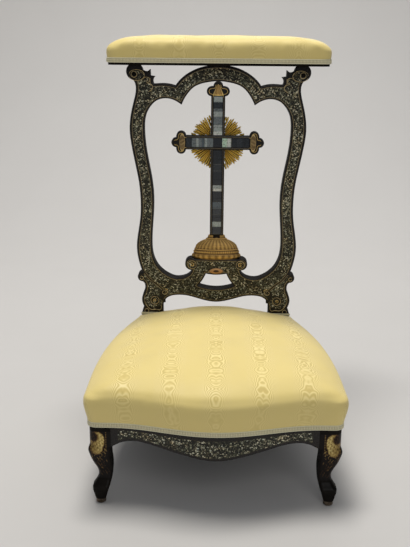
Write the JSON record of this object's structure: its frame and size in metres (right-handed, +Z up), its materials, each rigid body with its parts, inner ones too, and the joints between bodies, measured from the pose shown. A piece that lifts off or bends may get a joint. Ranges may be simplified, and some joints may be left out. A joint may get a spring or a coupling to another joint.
{
  "type": "prie-dieu",
  "caption": "Low prayer chair with a domed silk seat, a pierced black and pearl back holding a cross, and a padded armrest.",
  "frame": {"origin": "on the floor, half-way across and half-way along the chair", "axes": "+X towards the chair's left-hand side as a sitter has it (right in a front view), front faces -Y, +Z up"},
  "size_m": [0.4728, 0.59, 0.834],
  "materials": {
    "black_lacquer": "gloss",
    "mother_of_pearl": "polished",
    "glide_metal": "satin",
    "gilding": "satin",
    "plain_beech": "matte",
    "horsehair": "matte",
    "yellow_silk": "satin",
    "cream_braid": "matte",
    "jute": "matte",
    "spring_steel": "satin",
    "black_cotton": "matte"
  },
  "bodies": {
    "root": {"right_upright": "black_lacquer", "left_upright": "black_lacquer", "crest_rail": "black_lacquer", "lower_back_rail": "black_lacquer", "cross_post": "black_lacquer", "cross_arm": "black_lacquer", "post_pearl_tiles": "mother_of_pearl", "arm_pearl_tiles": "mother_of_pearl", "cross_top_pin": "glide_metal", "upper_right_rays": "gilding", "upper_left_rays": "gilding", "lower_right_rays": "gilding", "lower_left_rays": "gilding", "cross_mound": "gilding", "mound_dowels": "plain_beech", "armrest_board": "black_lacquer", "armrest_stuffing": "horsehair", "armrest_cover": "yellow_silk", "armrest_braid": "cream_braid", "armrest_dowels": "plain_beech", "right_front_leg": "black_lacquer", "left_front_leg": "black_lacquer", "front_seat_rail": "black_lacquer", "right_seat_rail": "black_lacquer", "left_seat_rail": "black_lacquer", "rear_seat_rail": "black_lacquer", "front_right_block": "plain_beech", "front_left_block": "plain_beech", "rear_right_block": "plain_beech", "rear_left_block": "plain_beech", "block_screws": "glide_metal", "lengthwise_webbing": "jute", "crosswise_webbing": "jute", "webbing_tacks": "glide_metal", "seat_springs": "spring_steel", "seat_hessian": "jute", "seat_stuffing": "horsehair", "seat_cover": "yellow_silk", "seat_braid": "cream_braid", "bottom_cloth": "black_cotton", "right_front_glide": "glide_metal", "left_front_glide": "glide_metal", "right_rear_glide": "glide_metal", "left_rear_glide": "glide_metal"}
  },
  "joints": []
}
